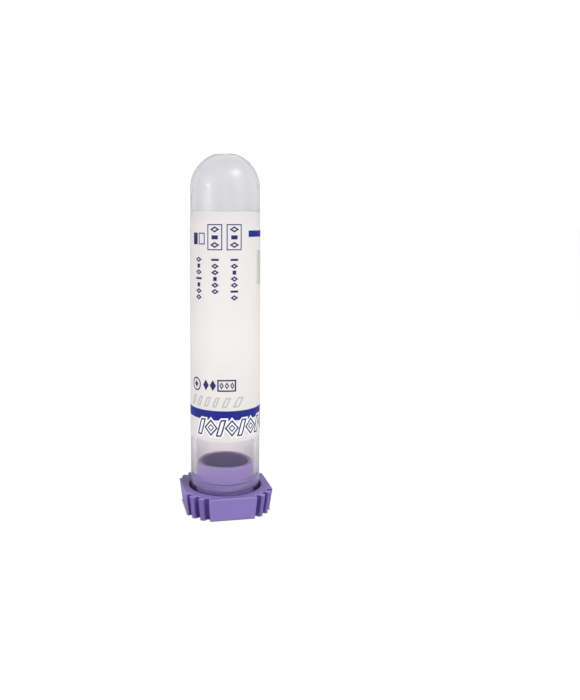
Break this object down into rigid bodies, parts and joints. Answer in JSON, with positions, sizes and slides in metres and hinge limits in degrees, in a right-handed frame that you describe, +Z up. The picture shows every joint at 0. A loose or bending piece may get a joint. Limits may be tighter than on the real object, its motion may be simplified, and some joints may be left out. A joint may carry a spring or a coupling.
{
  "type": "blood collection tube",
  "caption": "Small round-ended plastic tube with a wrapped film label, standing mouth down on a purple push cap with a ribbed four-sided grip and a hollow plug.",
  "frame": {"origin": "centre of the cap's end face, which the object stands on", "axes": "+Z up along the tube's axis, from the cap's end face to the tube's closed end; X and Y are square to the cap's flats"},
  "size_m": [0.0152, 0.0152, 0.0607],
  "materials": {
    "cap": "satin moulded",
    "tube": "translucent moulded",
    "label": "printed film"
  },
  "bodies": {
    "cap": {"cap": "cap"},
    "tube": {"tube": "tube", "label": "label"}
  },
  "joints": [
    {"name": "tube_pull", "type": "slide", "parent": "cap", "child": "tube", "axis": [0, 0, 1], "range_m": [0, 0.015]}
  ]
}
